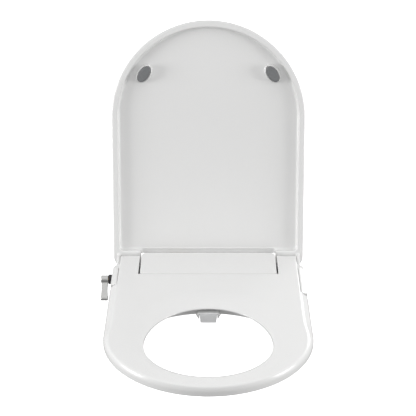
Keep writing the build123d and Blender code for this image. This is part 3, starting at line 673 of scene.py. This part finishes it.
def lever_field(p):
    """Hub, waisted blade and flared grip bar."""
    x, y, z = p
    dy, dz = y - LEVER_AXIS[1], z - LEVER_AXIS[2]
    c, s = math.cos(LEVER_TURN), math.sin(LEVER_TURN)
    reach, lift = -(dy * c + dz * s), dz * c - dy * s
    centre = (LEVER_LOW[0] + LEVER_HIGH[0]) / 2
    hub = round_max(np.hypot(dy, dz) - HUB_RADIUS, slab(x, LEVER_LOW[0], LEVER_HIGH[0]), 1.0)
    waist = WAIST - WAIST_DRAWN_IN * ramp(reach, 0, 16) + WAIST_FLARE * ramp(reach, 22, 36)
    blade = round_max(np.abs(x - centre) - waist, np.abs(lift) - BLADE_THICK, 1.0)
    blade = np.maximum(blade, slab(reach, 0, BLADE_LENGTH))
    grip = np.hypot(reach - GRIP_REACH, lift * GRIP_FLAT) - GRIP_RADIUS
    grip = round_max(grip, np.abs(x - centre) - GRIP_HALF, 1.4)
    lever = round_min(round_min(hub, blade, 1.6), grip, 1.5)
    lever = np.maximum(lever, slab(x, LEVER_LOW[0], LEVER_HIGH[0]))
    return np.maximum(lever, -(np.hypot(dy, dz) - BORE + 20 * (x < BORE_END)))


lever = moulded("hand_lever", lever_field, LEVER_LOW, LEVER_HIGH, (0.45, 0.45, 0.45), share=0.5)
put(lever, "lever")


# ---- nozzle guard ----
HOOD_LOW, HOOD_HIGH = mm_box("guard_hood")
FLAP_LOW, FLAP_HIGH = mm_box("guard_flap")
PIN = np.array(JOINTS["guard_swing"]["pos_m"]) / MM
CHEEK = 16.6                 # inner face of the hood's cheeks
CHEEK_WALL = 1.6
HOOD_CREST, HOOD_SHOULDER, HOOD_ROOF = 18.5, 8.5, 10.2
HOOD_INNER = -9              # the section's inner edge, past the middle
WALL_GAP = 0.1
FLAP_BARREL, FLAP_BORE = 1.6, 1.06
FLAP_TAPER = 2.0


def hood_field(p):
    """Visor over the nozzle guard, its cheeks drawn in below."""
    x, y, z = p
    side = np.abs(x)
    back = 3.5 * ramp(y, HOOD_LOW[1] + 2, HOOD_HIGH[1])
    arch = polygon(side + back, z, [
        (HOOD_INNER, HOOD_HIGH[2]), (HOOD_CREST, HOOD_HIGH[2]), (HOOD_HIGH[0], HOOD_SHOULDER),
        (CHEEK + CHEEK_WALL, HOOD_LOW[2]), (HOOD_INNER, HOOD_LOW[2]),
    ])
    front = HOOD_LOW[1] + 2.5 * ramp(-z, -9, -3)
    outside = round_max(round_max(arch, front - y, 1.6), y - HOOD_HIGH[1], 0.5)
    outside = round_max(outside, z - HOOD_HIGH[2], 1.5)
    hollow = np.maximum(side - CHEEK, z - HOOD_ROOF)
    body = round_max(outside, -hollow, 0.5)
    wall = BASE_ARC - np.hypot(x, y - BASE_ARC_Y)
    return np.maximum(body, WALL_GAP - wall)


hood = moulded("guard_hood_moulding", hood_field, HOOD_LOW, HOOD_HIGH, (0.5, 0.5, 0.5), share=0.4)
# the hood's whiter material is painted light, brightening a part shaded by the seat's lip
put(hood, "guard_hood", material=HOOD_PAINTED_LIGHT)


def flap_field(p):
    """Flap with a rounded lower edge, hung from a barrel."""
    x, y, z = p
    panel = round_max(slab(y, FLAP_LOW[1], FLAP_HIGH[1] - 0.4), slab(z, FLAP_LOW[2], PIN[2]), 1.0)
    barrel = np.hypot(y - PIN[1], z - PIN[2]) - FLAP_BARREL
    taper = FLAP_TAPER * (PIN[2] - z) / (PIN[2] - FLAP_LOW[2])
    ends = np.abs(x) + np.maximum(taper, 0) - FLAP_HIGH[0]
    body = round_max(np.minimum(panel, barrel), ends, 0.9)
    return np.maximum(body, FLAP_BORE - np.hypot(y - PIN[1], z - PIN[2]))


flap = moulded("guard_flap_moulding", flap_field, FLAP_LOW, FLAP_HIGH, (0.5, 0.4, 0.5), share=0.5)
put(flap, "guard_flap")


# ---- springs ----
COIL_STEPS, COIL_SIDES = 18, 6           # rings in each turn of a spring, and their corners
SLEEVE, SLEEVE_INNER = 5.15, 4.45        # radii that a nozzle spring's coils fill
NOZZLE_TURNS, BUTTON_TURNS = 22, 7
BUTTON_WIRE = 0.3


def coil(name, start, end, radius, wire, turns):
    """Closed wire helix between two points, in millimetres."""
    start, end = np.array(start), np.array(end)
    length = np.linalg.norm(end - start)
    along = (end - start) / length
    across = np.array([0.0, 0.0, 1.0]) if abs(along[0]) > 0.9 else np.array([1.0, 0.0, 0.0])
    up = np.cross(along, across)
    steps, sides = int(turns * COIL_STEPS), COIL_SIDES
    rings = []
    for i in range(steps + 1):
        turn = 2 * math.pi * turns * i / steps
        outward = across * math.cos(turn) + up * math.sin(turn)
        middle = start + outward * radius + along * (wire + (length - 2 * wire) * i / steps)
        for k in range(sides):
            lean = 2 * math.pi * k / sides
            rings.append(middle + wire * (outward * math.cos(lean) + along * math.sin(lean)))
    faces = []
    for here in range(0, steps * sides, sides):
        for k in range(sides):
            step = (k + 1) % sides
            faces.append((here + k, here + step, here + sides + step, here + sides + k))
    last = steps * sides
    faces += [tuple(range(sides))[::-1], tuple(last + k for k in range(sides))]
    return new_mesh(name, rings, faces)


for joint_name, spring_node in (
    ("rear_nozzle_slide", "rear_nozzle_spring"), ("front_nozzle_slide", "front_nozzle_spring")
):
    low, high = mm_box(spring_node)
    inward = -np.array(JOINTS[joint_name]["axis"])
    middle_x = (low[0] + high[0]) / 2
    tilt = np.array([0, SLEEVE * inward[2], SLEEVE * inward[1]])
    front = np.array([middle_x, low[1], low[2]]) + tilt
    rear = np.array([middle_x, high[1], high[2]]) - tilt
    radius, wire = (SLEEVE + SLEEVE_INNER) / 2, (SLEEVE - SLEEVE_INNER) / 2
    spring = coil(spring_node + "_coil", front, rear, radius, wire, NOZZLE_TURNS)
    put(spring, spring_node)
    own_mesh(spring)

low, high = mm_box("button_spring")
middle = (low + high) / 2
start = np.array([low[0], middle[1], middle[2]])
end = np.array([high[0], middle[1], middle[2]])
radius = (high[1] - low[1]) / 2 - BUTTON_WIRE
spring = coil("button_spring_coil", start, end, radius, BUTTON_WIRE, BUTTON_TURNS)
put(spring, "button_spring")
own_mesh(spring)


# ---- floor, light and camera ----
FLOOR_HALF, FLOOR_GAP = 60.0, 0.002
SKY = ((0.36, 0.29), (0.52, 0.41), (0.95, 0.95))     # height and tone: below, level, overhead
LIGHTS = (                   # name, place, target, size in metres and power in watts
    ("left", (-2.2, -0.6, 0.45), (0, -0.1, 0.15), (1.0, 1.0), 27),
    ("right", (2.2, -0.6, 0.45), (0, -0.1, 0.15), (1.0, 1.0), 23),
    ("front", (0, -2.3, 0.75), (0, -0.15, 0), (0.5, 0.5), 1),
    ("back", (1.3, 2.2, 1.0), (0, 0.1, 0.2), (1.0, 1.0), 12),
)
CAMERA_PITCH = math.radians(25.0)
CAMERA_OFFSET = Vector((0, -2.2946, 1.1888))         # from the hinge axis
CAMERA_LENS, CAMERA_SENSOR = 115.1, 36
CAMERA_SHIFT = -0.0008
CAMERA_REACH = 150           # takes in the whole floor


def floor():
    """Plain pale floor under the hanging bolts, lit from within so that it stays white."""
    size, drop = FLOOR_HALF, CAD_BOX[0][2] - FLOOR_GAP
    mesh = bpy.data.meshes.new("floor")
    corners = [(-size, -size, drop), (size, -size, drop), (size, size, drop), (-size, size, drop)]
    mesh.from_pydata(corners, [], [(0, 1, 2, 3)])
    obj = bpy.data.objects.new("floor", mesh)
    bpy.context.scene.collection.objects.link(obj)
    material, _, shader = new_material("floor_white", (0.9, 0.9, 0.9), 0.9)
    shader.inputs["Emission Color"].default_value = (1, 1, 1, 1)
    shader.inputs["Emission Strength"].default_value = 1.0
    dress(obj, material)
    obj.visible_diffuse = False
    obj.visible_glossy = False


def area_light(name, place, target, size, power):
    """Soft square light aimed at a point."""
    data = bpy.data.lights.new(name, "AREA")
    data.shape = "RECTANGLE"
    data.size, data.size_y = size
    data.energy = power
    obj = bpy.data.objects.new(name, data)
    obj.location = place
    obj.rotation_euler = (Vector(target) - Vector(place)).to_track_quat("-Z", "Y").to_euler()
    bpy.context.scene.collection.objects.link(obj)


def studio():
    """Surround that brightens upwards, with soft lights at the sides, in front and behind."""
    world = bpy.data.worlds.new("studio")
    world.use_nodes = True
    tree = world.node_tree
    coords = tree.nodes.new("ShaderNodeTexCoord")
    split = tree.nodes.new("ShaderNodeSeparateXYZ")
    height = tree.nodes.new("ShaderNodeMapRange")
    height.inputs["From Min"].default_value = -1
    tones = tree.nodes.new("ShaderNodeValToRGB")
    tones.color_ramp.elements.new(0.5)
    for stop, (place, tone) in zip(tones.color_ramp.elements, SKY):
        stop.position = place
        stop.color = (tone, tone, tone, 1)
    background = tree.nodes["Background"]
    tree.links.new(coords.outputs["Generated"], split.inputs["Vector"])
    tree.links.new(split.outputs["Z"], height.inputs["Value"])
    tree.links.new(height.outputs["Result"], tones.inputs["Fac"])
    tree.links.new(tones.outputs["Color"], background.inputs["Color"])
    bpy.context.scene.world = world
    for light in LIGHTS:
        area_light(*light)


def camera():
    """Long lens looking down on the front of the open seat."""
    data = bpy.data.cameras.new("camera")
    data.sensor_width = CAMERA_SENSOR
    data.lens = CAMERA_LENS
    data.clip_end = CAMERA_REACH
    data.shift_x = CAMERA_SHIFT
    obj = bpy.data.objects.new("camera", data)
    obj.location = AXIS * MM + CAMERA_OFFSET
    obj.rotation_euler = (math.pi / 2 - CAMERA_PITCH, 0, 0)
    bpy.context.scene.collection.objects.link(obj)
    bpy.context.scene.camera = obj


floor()
studio()
camera()
bpy.context.scene.view_settings.view_transform = "Standard"
